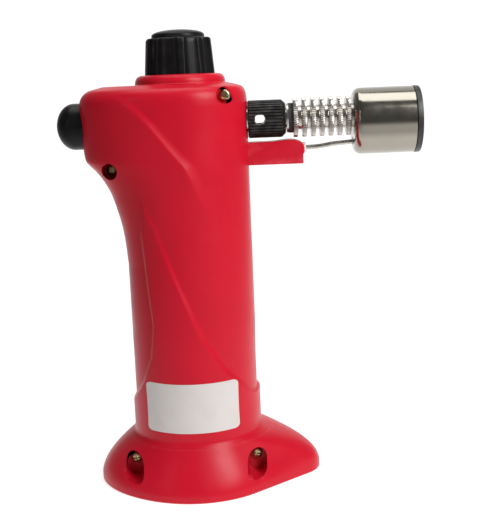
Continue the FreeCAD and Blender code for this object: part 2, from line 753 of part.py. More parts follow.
def refill_valve():
    """Brass valve under the tank: body, sealing ring, nut inside the tank, sprung stem."""
    foot, bore, stem = 13.0, 2.2, 1.5
    flange = s.tank_foot - 1.5
    body = turned("refill_body", "Z", [
        (stem + s.running, foot), (s.refill_radius - 0.6, foot), (s.refill_radius, foot + 0.6),
        (s.refill_radius, flange - 1.8), (7.0, flange - 1.8), (7.0, flange), (s.refill_radius, flange),
        (s.refill_radius, s.tank_foot + 6), (0.8, s.tank_foot + 6), (0.8, s.tank_foot + 4),
        (bore, s.tank_foot + 4), (bore, foot + 5), (stem + s.running, foot + 5),
    ])  # fmt: skip
    node(body, "refill_body")
    seal = turned("refill_seal", "Z", [
        (s.refill_radius + 0.05, flange + 0.02), (7.0, flange + 0.02), (7.0, s.tank_foot - 0.02),
        (s.refill_radius + 0.05, s.tank_foot - 0.02),
    ])  # fmt: skip
    node(seal, "refill_seal")
    nut = doc.addObject("Part::Prism", "refill_hexagon")
    nut.Polygon = 6
    nut.Circumradius = 8.0
    nut.Height = 3.0
    place(nut, 0, 0, s.tank_foot + s.tank_wall + 0.02)
    hole = rod("refill_nut_hole", (0, 0, 20), s.refill_radius + 0.05, 20)
    node(cut("refill_nut", nut, hole), "refill_nut")
    collar = foot + 5.1
    plunger = turned("refill_stem", "Z", [
        (0, foot - 3.5), (stem - 0.4, foot - 3.5), (stem, foot - 3.1), (stem, collar), (bore - 0.1, collar),
        (bore - 0.1, collar + 2), (0, collar + 2),
    ])  # fmt: skip
    node(plunger, "refill_stem")
    spring_foot = float(collar) + 2.2
    coil("refill_spring", 1.75, 0.22, spring_foot, float(s.tank_foot) + 3.8 - spring_foot, 7)


def coil(name, radius, wire, foot, length, turns, along_x=False):
    """A compression spring standing on Z = foot, or lying along X from X = foot."""
    pitch = (length - 2 * wire) / turns
    helix = Part.makeHelix(pitch, length - 2 * wire, radius)
    start = Part.Circle(FreeCAD.Vector(radius, 0, 0), FreeCAD.Vector(0, 1, 0), wire)
    spring = Part.Wire(helix.Edges).makePipeShell([Part.Wire(start.toShape())], True, True)
    spring.translate(FreeCAD.Vector(0, 0, wire))
    piece = shaped(name, spring)
    if along_x:
        place(piece, foot, 0, s.button_z, turn=(0, 1, 0, 90))
    else:
        place(piece, 0, 0, foot)
    return node(piece, name)


# ---------------------------------------------------------------- igniter


def igniter_button():
    """Hollow domed push button; two tabs behind the housing wall keep it in."""
    tip, radius, skirt = s.button_tip, s.button_radius, -35.0
    dome = 6.2
    shoulder = tip + dome
    points = [(tip, 0)]
    for i in range(1, 7):
        turn = math.pi / 2 * i / 6
        points.append((tip + dome * (1 - math.cos(turn)), radius * math.sin(turn)))
    points += [(skirt, radius), (skirt, radius - 1.5), (shoulder + 1, radius - 1.5), (shoulder + 1, 0)]
    shell = place(turned("button_shell", "X", points), 0, 0, s.button_z)
    tabs = []
    for name, z in (("tab_above", s.button_z + radius - 0.8), ("tab_below", s.button_z - radius - 1.5)):
        tabs.append(box(name, (-36.4, -3.0, z), (1.4, 6.0, 2.3)))
    return node(joined("igniter_button", [shell, *tabs]), "igniter_button")


def piezo():
    """Piezo striker: case, sliding plunger and the spring between them."""
    length = s.piezo_end - s.piezo_start
    half, low = s.piezo_width / 2, s.button_z - s.piezo_height / 2
    case = box("piezo_block", (s.piezo_start, -half, low), (length, s.piezo_width, s.piezo_height))
    hollow = box("piezo_hollow", (s.piezo_start - 1, -half + 0.9, low + 1), (
        length - 0.5, s.piezo_width - 1.8, s.piezo_height - 2))  # fmt: skip
    node(cut("piezo_case", case, hollow), "piezo_case")
    rear = s.button_tip + 7.2
    plunger = box("piezo_plunger", (rear, -half + 1, low + 1.1), (
        -23.0 - rear, s.piezo_width - 2, s.piezo_height - 2.2))  # fmt: skip
    node(plunger, "piezo_plunger")
    coil("piezo_spring", 2.8, 0.35, -22.6, 12.6, 7, along_x=True)
    contact = box("earth_contact", (s.piezo_end + 0.02, -3, s.button_z - 4), (1.16, 6, 8))
    node(contact, "earth_contact")


def ignition_lead():
    """Insulated lead from the side of the piezo case, round the valve, into the electrode holder."""
    route = [
        (-16.0, -4.52, 141.5), (-16.0, -10.5, 141.5), (-7.0, -14.5, 138.5), (3.0, -12.5, 135.0),
        (9.0, -6.5, 133.6), (14.5, 0.0, 133.4), (30.0, 0.0, 133.4),
    ]  # fmt: skip
    return node(shaped("ignition_lead", bent_tube(route, 0.75)), "ignition_lead")


def bent_tube(route, radius):
    """A round tube along straight runs joined by tangent arcs as large as the runs allow."""
    points = [FreeCAD.Vector(*p) for p in route]
    edges, last = [], points[0]
    for before, here, after in zip(points, points[1:], points[2:]):
        inward, outward = (before - here).normalize(), (after - here).normalize()
        turn = math.pi - inward.getAngle(outward)
        reach = 0.45 * min((here - before).Length, (after - here).Length)
        start, end = here + inward * reach, here + outward * reach
        bisector = (inward + outward).normalize()
        bend = reach / math.tan(turn / 2)
        centre = here + bisector * math.hypot(bend, reach)
        middle = centre - bisector * bend
        edges.append(Part.LineSegment(last, start).toShape())
        edges.append(Part.Arc(start, middle, end).toShape())
        last = end
    edges.append(Part.LineSegment(last, points[-1]).toShape())
    path = Part.Wire(edges)
    direction = points[1] - points[0]
    profile = Part.Wire(Part.Circle(points[0], direction, radius).toShape())
    return path.makePipeShell([profile], True, True)


def electrode():
    """Red holder under the burner, ceramic sleeve and the spark wire that runs into the head."""
    front, foot, top, half = s.arm_end, s.arm_foot, s.arm_top, s.arm_width / 2
    arm = doc.addObject("PartDesign::Body", "electrode_holder")
    side = outline(arm, "arm_side", "XZ_Plane", [
        (18, foot + 0.4), (22, foot + 0.4), (25, foot), (front - 0.5, foot), (front - 0.5, foot + 3.8),
        (front, foot + 4.2), (front, top - 2.6), (front - 1.0, top - 1.0), (front - 2.8, top - 0.1),
        (front - 7.0, top + 0.3), (front - 11.0, top + 0.1), (front - 15.0, top - 0.2), (25, top - 0.2),
        (18, top - 0.2),
    ])  # fmt: skip
    padded(arm, side, s.arm_width, midplane=True)
    hole = circles(arm, "arm_bore", "YZ_Plane", [(0, s.wire_z)], s.insulator_radius + 0.02, s.arm_end + 1)
    pocketed(arm, hole, s.arm_end - 31)
    small = circles(arm, "arm_lead_bore", "YZ_Plane", [(0, s.wire_z)], 1.4, s.arm_end + 1)
    pocketed(arm, small, 40)
    node(arm, "electrode_holder")
    sleeve = turned("electrode_insulator", "X", [
        (32.1, s.wire_radius + 0.02), (32.1, s.insulator_radius), (front + 0.4, s.insulator_radius),
        (front + 0.8, s.insulator_radius - 0.5), (front + 0.8, s.wire_radius + 0.02),
    ])  # fmt: skip
    node(place(sleeve, 0, 0, s.wire_z), "electrode_insulator")
    route = [
        (30.2, 0, 133.4), (51.0, 0, 133.4), (60.0, 0, 134.4), (71.0, 0, 135.3), (78.0, 0, 137.2),
        (81.5, 0, 139.6),
    ]  # fmt: skip
    node(shaped("electrode_wire", bent_tube(route, float(s.wire_radius) - 0.05)), "electrode_wire")


# ---------------------------------------------------------------- burner


def jet():
    """Brass jet holder screwed into the valve and the nozzle in its front."""
    holder = turned("jet_holder", "X", [
        (4, 1.2), (4, s.tube_bore - 0.05), (7.02, s.tube_bore - 0.05), (7.02, 5.2), (9.4, 5.2),
        (9.4, s.tube_bore - 0.05), (23, s.tube_bore - 0.05), (23, 2.22), (20.5, 2.22), (20.5, 1.2),
    ])  # fmt: skip
    node(place(holder, 0, 0, s.burner_z), "jet_holder")
    tip = s.air_x - s.air_length / 2 + 0.6
    nozzle = turned("gas_jet", "X", [
        (20.6, 0.9), (20.6, 2.2), (tip - 1.2, 2.2), (tip, 1.4), (tip, 0.3), (tip - 1.0, 0.3), (tip - 1.6, 0.9),
    ])  # fmt: skip
    node(place(nozzle, 0, 0, s.burner_z), "gas_jet")


def burner_tube():
    """Mixing tube: a wide seat for the air collar, a flange inside the housing, a slim front end."""
    body = turned("burner_tube", "X", [
        (10, s.tube_bore), (10, s.tube_radius), (20.4, s.tube_radius), (20.4, 6.2), (22.0, 6.2),
        (22.0, s.tube_radius), (s.air_collar_end - 0.3, s.tube_radius), (s.air_collar_end - 0.3, s.nose_radius),
        (50, s.nose_radius), (50, s.tube_bore),
    ])  # fmt: skip
    doc.recompute()
    hole = circles(body, "tube_air_hole", "XZ_Plane", [(s.air_x, 0)], s.air_width / 2 + 0.3, 20)
    pocketed(body, hole, 40)
    return node(place(body, 0, 0, s.burner_z), "burner_tube")


def air_collar():
    """Ribbed sleeve that turns on the burner tube to open or close the air hole."""
    start, end, outer = s.air_collar_start, s.air_collar_end, s.air_collar_radius
    body = turned("air_collar", "X", [
        (start, s.tube_radius + s.running), (start, outer - 0.5), (start + 0.5, outer), (end - 1.6, outer),
        (end, outer - 1.4), (end, s.tube_radius + s.running),
    ])  # fmt: skip
    doc.recompute()
    groove = outline(body, "collar_groove", "YZ_Plane", [
        (-0.28, outer - 0.45), (0.28, outer - 0.45), (0.36, outer + 1), (-0.36, outer + 1),
    ], start - 1)  # fmt: skip
    cutter = pocketed(body, groove, end - start + 2, reverse=True)
    patterned(body, cutter, groove, "N_Axis", s.air_ribs)
    doc.recompute()
    span = (s.air_length - s.air_width) / 2
    ends = circles(body, "collar_window", "XZ_Plane", [(s.air_x - span, 0)], s.air_width / 2, 20)
    pocketed(body, ends, 40)
    front = circles(body, "collar_window_front", "XZ_Plane", [(s.air_x + span, 0)], s.air_width / 2, 20)
    pocketed(body, front, 40)
    half = s.air_width / 2
    middle = outline(body, "collar_window_middle", "XZ_Plane", [
        (s.air_x - span, -half), (s.air_x + span, -half), (s.air_x + span, half), (s.air_x - span, half),
    ], 20)  # fmt: skip
    pocketed(body, middle, 40)
    return node(place(body, 0, 0, s.burner_z), "air_collar")


def washers():
    start = s.sink_start
    bore = s.nose_radius + 0.05
    fibre = turned("fibre_washer", "X", [
        (start - 1.9, bore), (start - 1.9, 5.85), (start - 0.02, 5.85), (start - 0.02, bore)])  # fmt: skip
    node(place(fibre, 0, 0, s.burner_z), "fibre_washer")
    steel = turned("steel_washer", "X", [
        (start - 2.6, bore), (start - 2.6, 5.75), (start - 1.92, 5.75), (start - 1.92, bore)])  # fmt: skip
    node(place(steel, 0, 0, s.burner_z), "steel_washer")


def heat_sink():
    """One turned piece: seven fins on a core, with a stub that carries the flame head."""
    bore, seat = 2.8, s.nose_radius + 0.05
    points = [(s.sink_start, seat)]
    for i in range(int(s.fin_count)):
        rear = s.sink_start + s.fin_pitch * i
        front = rear + s.fin_width
        points += [(rear, s.fin_radius), (front, s.fin_radius), (front, s.core_radius)]
        if i < int(s.fin_count) - 1:
            points.append((rear + s.fin_pitch, s.core_radius))
    points += [
        (s.head_start - 0.02, s.core_radius), (s.head_start - 0.02, 3.5), (s.head_start + 5.6, 3.5),
        (s.head_start + 5.6, bore), (50.1, bore), (50.1, seat),
    ]  # fmt: skip
    return node(place(turned("heat_sink", "X", points), 0, 0, s.burner_z), "heat_sink")


def flame_head():
    """Polished sheet cup, open in front, hung below the burner axis; holes for the stub and the wire."""
    start, end, outer, wall = s.head_start, s.head_end, s.head_radius, s.head_wall
    fillet = s.shoulder
    outside, inside = [], []
    for i in range(6):
        back, out = 1 - math.cos(math.pi / 10 * i), 1 - math.sin(math.pi / 10 * i)
        outside.append((start + fillet * back, outer - fillet * out))
        inside.append((start + wall + (fillet - wall) * back, outer - wall - (fillet - wall) * out))
    points = [(start + wall, 0), (start, 0), *outside, (end, outer), (end, outer - wall), *reversed(inside)]
    cup = place(turned("head_cup", "X", points), 0, 0, s.head_z)
    stub_hole = rod("head_stub_hole", (s.head_start - 2, 0, s.burner_z), 3.55, 5, "X")
    wire_hole = rod("head_wire_hole", (s.head_start - 2, 0, s.wire_z + 1.75), 1.6, 5, "X")
    return node(cut("flame_head", cup, joined("head_holes", [stub_hole, wire_hole])), "flame_head")


def head_ring():
    """Black ring in the mouth of the flame head."""
    end, outer, spigot = s.ring_end, s.head_radius, s.head_radius - s.head_wall - 0.05
    body = turned("head_ring", "X", [
        (s.head_end - 2.5, spigot - 0.8), (s.head_end - 2.5, spigot), (s.head_end + 0.02, spigot),
        (s.head_end + 0.02, outer + 0.1), (end - 0.5, outer + 0.1), (end, outer - 0.3), (end, spigot - 0.8),
    ])  # fmt: skip
    return node(place(body, 0, 0, s.head_z), "head_ring")


def flame_holder():
    """Burner tip on the stub, with a ring of ports round a central one."""
    rear = s.head_start + s.head_wall + 0.1
    shelf = s.head_start + 5.7
    body = turned("flame_holder", "X", [
        (rear, 3.55), (rear, 6.0), (rear + 9, 6.0), (rear + 10, 5.0), (rear + 10, 0), (rear + 8, 0),
        (rear + 8, 4.8), (shelf, 4.8), (shelf, 3.55),
    ])  # fmt: skip
    doc.recompute()
    port = circles(body, "flame_port", "YZ_Plane", [(0, 3.4)], 0.75, rear + 12)
    cutter = pocketed(body, port, 5)
    patterned(body, cutter, port, "N_Axis", 8)
    doc.recompute()
    pocketed(body, circles(body, "flame_centre", "YZ_Plane", [(0, 0)], 1.3, rear + 12), 5)
    return node(place(body, 0, 0, s.burner_z), "flame_holder")


def finish():
    """Checks every object, then writes one STEP file for each node."""
    doc.recompute()
    for piece in doc.Objects:
        if {"Invalid", "Error"} & set(piece.State):
            raise RuntimeError(f"{piece.Name} failed: {piece.State}")
    for piece in nodes:
        if piece.Shape.isNull() or not piece.Shape.isValid() or not piece.Shape.Solids:
            raise RuntimeError(f"{piece.Label} has no valid solid")
    os.makedirs("parts", exist_ok=True)
    for piece in nodes:
        piece.Shape.exportStep(os.path.join("parts", f"{piece.Label}.step"))
        print(f"{piece.Label}: {len(piece.Shape.Solids)} solid, {piece.Shape.Volume:.1f} mm3")


MAKERS = [
    housing_halves, base_cover, sticker, case_screws, base_screws,
    control_knob, knob_cap, knob_clip, valve_needle, valve_body, gland,
    fuel_tank, tank_fittings, refill_valve, igniter_button, piezo, ignition_lead, electrode,
    jet, burner_tube, air_collar, washers, heat_sink, flame_head, head_ring, flame_holder,
]  # fmt: skip
for make in MAKERS:
    make()
finish()
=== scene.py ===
import math

import bmesh
import bpy
import numpy as np
from mathutils import Euler, Matrix, Vector


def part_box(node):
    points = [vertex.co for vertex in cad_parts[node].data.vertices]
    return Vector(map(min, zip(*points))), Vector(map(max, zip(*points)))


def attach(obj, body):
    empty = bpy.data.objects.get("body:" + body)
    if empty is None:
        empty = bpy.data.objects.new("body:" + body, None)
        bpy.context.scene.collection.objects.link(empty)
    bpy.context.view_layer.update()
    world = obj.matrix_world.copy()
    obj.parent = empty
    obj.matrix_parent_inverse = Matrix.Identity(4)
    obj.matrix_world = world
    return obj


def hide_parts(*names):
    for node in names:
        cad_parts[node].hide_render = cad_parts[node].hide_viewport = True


# Jewellery maker's butane torch: the looks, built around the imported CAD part.
# Shapes are worked out in millimetres and scaled to metres when a mesh is made.

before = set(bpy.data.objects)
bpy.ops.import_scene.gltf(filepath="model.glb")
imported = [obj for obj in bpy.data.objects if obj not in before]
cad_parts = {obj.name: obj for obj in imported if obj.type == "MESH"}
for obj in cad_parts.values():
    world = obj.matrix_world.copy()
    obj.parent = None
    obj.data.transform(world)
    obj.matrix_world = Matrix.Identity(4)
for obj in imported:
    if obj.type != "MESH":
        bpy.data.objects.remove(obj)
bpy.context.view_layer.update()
MM = 0.001


def corners(node):
    """A CAD node's lowest and highest corners in millimetres, to the tenth it is drawn to."""
    return [[round(v / MM, 1) for v in corner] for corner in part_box(node)]


def middle(node):
    """The middle of a CAD node's box in millimetres."""
    return [round((low + high) / 2, 2) for low, high in zip(*corners(node))]


# Places, read from the CAD nodes
HOUSING_LOW, HOUSING_HIGH = corners("housing_near")
BUTTON_Z, BURNER_Z, HEAD_Z = (middle(node)[2] for node in ("igniter_button", "air_collar", "flame_head"))
LEAD_Z = middle("electrode_insulator")[2]
ARM_LOW, ARM_HIGH = corners("electrode_holder")

# Sizes of the moulded shape
BODY_X, BODY_R, SLEEVE = 0.5, 25.0, 1.2
WALL, FOOT_WALL = 2.2, 3.2
RIM_TOP, FOOT_TOP = 2.5, 20.5
FOOT_SIDE, NOSE = -HOUSING_LOW[1], 12.0
FOOT_FRONT, FOOT_REAR = HOUSING_HIGH[0] - BODY_X, BODY_X - HOUSING_LOW[0]
FOOT_BLEND = 6.0  # height over which the flare runs out into the handle
BOSS = 15.2
TOP, CEILING, HANDLE_TOP = 160.0, 157.6, 152.0
RING_R, RING_TOP, RING_BORE, RING_FLOOR, HUB_HOLE = 17.7, HOUSING_HIGH[2], 14.8, 160.2, 3.9
FRONT_LEAN, FRONT_SWELL = 0.45, 0.28  # how far the front stands past a round body, at the top and below it
PARTING = 0.13
UNDER_SKIN, UNDER_TOP = 0.985, 0.997  # shares that keep a solid just under the skin
REAR_LINE = [  # height, reach of the rear past the round body
    (90, 0.0), (100, 0.8), (107, 1.9), (115, 3.9), (120, 5.7), (125, 8.5),
    (128, 10.9), (130, 12.8), (133, 14.3), (145, 15.2), (152, 15.2),
]  # fmt: skip
TOP_LINE = [(152, 0.0), (155, 0.3), (157, 1.1), (158.5, 2.6), (159.4, 5.0), (160, 7.0)]
# The two moulded ridges of the handle, as (height, x) on the near side.
SWOOSH_FRONT = [(36, 26), (50, 14), (64, 6), (77, 1), (90, -4), (107, -10), (120, -16)]
SWOOSH_REAR = [(33, -26), (44, -20), (55, -16), (68, -14.5), (84, -16), (104, -17.5), (120, -16.1)]
SWOOSH_RISE = [(64, 1.2), (90, 0.8), (107, 0.45), (116, 0.3), (121, 0.0)]
CREST = [
    (108, 10.2), (115, 7.0), (125, 3.2), (129, 1.3),
    (135, -3.4), (145, -10.8), (153, -18.4), (158, -26.1),
]  # fmt: skip
CREST_RISE = [(106, 0.0), (112, 0.25), (120, 0.7), (128, 1.1), (145, 1.1), (153, 0.7), (158, 0.0)]
CREST_WIDTH = [(106, 5.0), (120, 4.5), (130, 4.2), (145, 2.6), (158, 2.0)]
SCREW_R, SCREW_HEAD, SHANK_R = 2.2, 1.5, 1.45
WELL_WALL = 1.5
CASE_LOW, CASE_HIGH = corners("case_screws")
FOOT_SCREW_X, FOOT_SCREW_Z = round(CASE_HIGH[0] - SCREW_R, 1), round(CASE_LOW[2] + SCREW_R, 1)
TOP_SCREW_Z, TOP_SEAT = round(CASE_HIGH[2] - SCREW_R, 1), round(CASE_LOW[1] + SCREW_HEAD, 1)
REAR_SCREW_X, _, REAR_SCREW_Z = middle("rear_screw")
REAR_SEAT = round(corners("rear_screw")[0][1] + SCREW_HEAD, 1)
# x, z, seat, radius and drop of each screw's well
WELLS = {
    "top": (17.6, TOP_SCREW_Z, TOP_SEAT, 3.3, 0.0),
    "rear": (REAR_SCREW_X, REAR_SCREW_Z, REAR_SEAT, 3.3, 0.0),
    "foot_front": (FOOT_SCREW_X, FOOT_SCREW_Z, -14.0, 3.9, 2.9),
    "foot_rear": (-FOOT_SCREW_X, FOOT_SCREW_Z, -14.0, 3.9, 2.9),
}


# ---------------------------------------------------------------- mesh helpers


def make(name, points, faces, sharp=35.0):
    """A mesh object from points in millimetres, with its normals outwards and smooth sides."""
    mesh = bpy.data.meshes.new(name)
    mesh.from_pydata([(x * MM, y * MM, z * MM) for x, y, z in points], [], faces)
    work = bmesh.new()
    work.from_mesh(mesh)
    bmesh.ops.recalc_face_normals(work, faces=work.faces)
    work.to_mesh(mesh)
    work.free()
    obj = bpy.data.objects.new(name, mesh)
    bpy.context.scene.collection.objects.link(obj)
    smooth(obj, sharp)
    return obj


def smooth(obj, sharp=35.0):
    """Smooth shading, with edges kept sharp where faces turn by more than sharp degrees."""
    obj.data.shade_smooth()
    obj.data.set_sharp_from_angle(angle=math.radians(sharp))


def skin(rows):
    """Points and faces of a solid through rows of equally many points; each row is a closed loop."""
    count = len(rows[0])
    points = [p for row in rows for p in row]
    faces = []
    for i in range(len(rows) - 1):
        a, b = i * count, (i + 1) * count
        for j in range(count):
            k = (j + 1) % count
            faces.append((a + j, a + k, b + k, b + j))
    faces.append(tuple(range(count)))
    faces.append(tuple(range(len(points) - count, len(points))))
    return points, faces


def turned(name, profile, steps, axis, centre=(0, 0, 0), shape=None, sharp=35.0):
    """A turned piece: profile is (along, radius) pairs, closed to a ring or ending on the axis."""
    poles = [r < 1e-6 for _, r in profile]
    points, faces, starts = [], [], []
    for (along, radius), pole in zip(profile, poles):
        starts.append(len(points))
        for j in range(1 if pole else steps):
            angle = 2 * math.pi * j / steps
            reach = radius if pole or shape is None else shape(along, radius, angle)
            a, b = reach * math.cos(angle), reach * math.sin(angle)
            local = (along, -b, a) if axis == "X" else (a, b, along)
            points.append(tuple(local[i] + centre[i] for i in range(3)))
    count = len(profile)
    for i in range(count if not any(poles) else count - 1):
        k = (i + 1) % count
        for j in range(steps):
            n = (j + 1) % steps
            if poles[i]:
                faces.append((starts[i], starts[k] + j, starts[k] + n))
            elif poles[k]:
                faces.append((starts[i] + j, starts[k], starts[i] + n))
            else:
                faces.append((starts[i] + j, starts[i] + n, starts[k] + n, starts[k] + j))
    return make(name, points, faces, sharp)


def arc(along, radius, size, start, stop, steps=12):
    """An arc in a profile, about (along, radius), between two angles in degrees."""
    turns = [math.radians(start + (stop - start) * i / steps) for i in range(steps + 1)]
    return [(along + size * math.cos(t), radius + size * math.sin(t)) for t in turns]


def bake(obj):
    """Keeps the result of obj's modifiers as its mesh."""
    graph = bpy.context.evaluated_depsgraph_get()
    result = bpy.data.meshes.new_from_object(obj.evaluated_get(graph))
    obj.modifiers.clear()
    obj.data = result


def boolean(obj, tool, how):
    """Joins, cuts or intersects obj with tool, which is used up."""
    step = obj.modifiers.new("boolean", "BOOLEAN")
    step.operation = how
    step.solver = "MANIFOLD"
    step.object = tool
    bake(obj)
    bpy.data.objects.remove(tool)


def bevelled(obj, width, angle):
    """Rounds the edges that are sharper than angle degrees."""
    step = obj.modifiers.new("bevel", "BEVEL")
    step.width = width * MM
    step.segments = 3
    step.limit_method = "ANGLE"
    step.angle_limit = math.radians(angle)
    bake(obj)
    smooth(obj)
    return obj


def rod(name, foot, radius, length, steps=48):
    """A plain cylinder along X, used to cut."""
    profile = [(0, 0), (0, radius), (length, radius), (length, 0)]
    return turned(name, profile, steps, "X", foot)


def block(name, low, high):
    """A plain box, used to cut."""
    x0, y0, z0 = low
    x1, y1, z1 = high
    rows = [[(x0, y0, z), (x1, y0, z), (x1, y1, z), (x0, y1, z)] for z in (z0, z1)]
    return make(name, *skin(rows))


def oval(name, x, z, y0, y1, radius, drop, steps=40):
    """A hole along Y, round or drawn out downwards."""
    loop = []
    for j in range(steps):
        t = 2 * math.pi * j / steps
        low = drop if math.sin(t) < 0 else 0.0
        loop.append((x + radius * math.cos(t), z + radius * math.sin(t) - low))
    rows = [[(u, y, v) for u, v in loop] for y in (y0, y1)]
    return make(name, *skin(rows))


def tube(name, route, radius, steps=20):
    """A round wire along a route of points in the plane Y = 0, with rounded ends."""
    rows = []
    for i, point in enumerate(route):
        ahead = Vector(route[min(i + 1, len(route) - 1)]) - Vector(route[max(i - 1, 0)])
        ahead.normalize()
        side = Vector((0, 1, 0))
        up = ahead.cross(side)
        end = radius * (0.55 if i in (0, len(route) - 1) else 1.0)
        rows.append([
            tuple(Vector(point) + side * (end * math.cos(t)) + up * (end * math.sin(t)))
            for t in (2 * math.pi * j / steps for j in range(steps))
        ])
    return make(name, *skin(rows))


def flowing(points, per_span=10):
    """A smooth line through the points (Catmull-Rom)."""
    ends = [points[0], *points, points[-1]]
    line = []
    for a, b, c, d in zip(ends, ends[1:], ends[2:], ends[3:]):
        for i in range(per_span):
            t = i / per_span
            point = []
            for p, q, r, w in zip(a, b, c, d):
                square, cube = 2 * p - 5 * q + 4 * r - w, 3 * q - p - 3 * r + w
                point.append(0.5 * (2 * q + (r - p) * t + square * t**2 + cube * t**3))
            line.append(tuple(point))
    return line + [tuple(points[-1])]


def follow(table, z):
    """Reads a two-column table at z along a smooth line."""
    line = np.array(flowing(table, 8))
    return float(np.interp(z, line[:, 0], line[:, 1]))


# ---------------------------------------------------------------- housing

COLUMNS = 170
# The turns about the body axis from the front to the rear, set close together at the parting line
TURNS = np.concatenate([
    [0.0, 0.006],
    np.linspace(0.02, math.pi - 0.02, COLUMNS),
    [math.pi - 0.006, math.pi],
])
FRONT, REAR = np.clip(np.cos(TURNS), 0, 1), np.clip(-np.cos(TURNS), 0, 1)
REAR_ROUND = 1 + 0.3 * REAR**2  # how much further the rear top corner is rounded


def foot_reach(z, inset):
    """Distance of the foot's flare from the body axis at each turn."""
    climb = max(0.0, (z - RIM_TOP) / (FOOT_TOP - RIM_TOP))
    sleeve = BODY_R + SLEEVE

    def spread(rim, power):
        return sleeve + (rim - sleeve) * (1 - climb**power) - inset

    side, front = spread(FOOT_SIDE, 1.35), spread(FOOT_FRONT, 1.95)
    nose, rear = spread(NOSE, 1.95), spread(FOOT_REAR, 1.6)
    offset = max(front - nose, 1e-6)
    lean = math.acos(max(-1.0, min(1.0, (side - nose) / offset)))
    touch = math.atan2(nose * math.sin(lean), offset + nose * math.cos(lean))
    reach = []
    for away in TURNS:
        if front - side < 1e-3 or away > lean:
            r = side
        elif away < touch:
            r = offset * math.cos(away) + math.sqrt(nose**2 - (offset * math.sin(away)) ** 2)
        else:
            r = side / math.cos(lean - away)
        if math.cos(away) < 0:
            r += (rear - side) * math.cos(away) ** 4
        reach.append(r)
    return np.array(reach)


def handle_reach(z, inset):
    """Distance of the handle's skin from the body axis at each turn."""
    side = BODY_R - inset
    lean = min(1.0, max(0.0, (z - 132) / 12))
    lean = lean * lean * (3 - 2 * lean)
    fuller = FRONT_SWELL * min(1.0, max(0.0, (z - 52) / 12))
    ahead = (fuller + (FRONT_LEAN - fuller) * lean) * FRONT**2
    out = max(0.0, follow(REAR_LINE, z)) if z > 90 else 0.0
    swell = out / BOSS
    power, taper = 2.0 + swell, 0.3 * swell
    if swell < 1e-4:
        return side + ahead
    along = np.linspace(0, math.pi / 2, 900)
    u = np.sin(along) ** (2 / power)
    v = np.cos(along) ** (2 / power) * (1 - taper * u * u)
    x, y = -(side + out) * u, side * v
    turn, reach = np.arctan2(y, x), np.hypot(x, y)
    order = np.argsort(turn)
    rear = np.interp(TURNS, turn[order], reach[order])
    return np.where(TURNS <= math.pi / 2, side + ahead, rear)


def read(table, z):
    """Reads a two-column table at z along straight lines."""
    z0, v0 = zip(*table)
    return np.interp(z, z0, v0)


def slope(table, z):
    """How fast a table changes with height."""
    return (read(table, z + 1.5) - read(table, z - 1.5)) / 3.0


def rise(x, z):
    """How far the sleeve, its swoosh and the upper ridge stand out, for a point of the handle."""
    ahead = (read(SWOOSH_FRONT, z) - x) / np.hypot(1, slope(SWOOSH_FRONT, z))
    behind = (x - read(SWOOSH_REAR, z)) / np.hypot(1, slope(SWOOSH_REAR, z))
    if z < 36:
        ahead = np.full(len(x), 9.0)
    if z < 33:
        behind = np.full(len(x), 9.0)
    if z > 120.5:
        ahead = np.full(len(x), -1.0)
    front_step = np.clip(ahead / 1.9, 0, 1) ** 1.8
    rear_step = np.clip(behind / 1.6, 0, 1)
    rear_step = rear_step * rear_step * (3 - 2 * rear_step)
    swoosh = read(SWOOSH_RISE, z) * front_step * rear_step
    past = (x - read(CREST, z)) / np.hypot(1, slope(CREST, z))
    fall = np.clip(1 - past / read(CREST_WIDTH, z), 0, 1) ** 1.7
    crest = read(CREST_RISE, z) * np.where(past > 0, fall, np.exp(np.minimum(past, 0) / 13.0))
    return swoosh + crest


def level(reach, z, centre=BODY_X):
    """A row of the near half at height z, from its reach at each turn."""
    return [(centre + r * math.cos(t), -r * math.sin(t), z) for r, t in zip(reach, TURNS)]


def ring_reach(radius):
    """A circle about the knob's axis, measured from the body axis."""
    return -BODY_X * np.cos(TURNS) + np.sqrt(radius**2 - (BODY_X * np.sin(TURNS)) ** 2)


def parted(reach):
    """Draws the skin in a little where the two halves meet, which leaves a fine parting line."""
    reach = np.array(reach)
    reach[[0, -1]] -= PARTING
    return reach


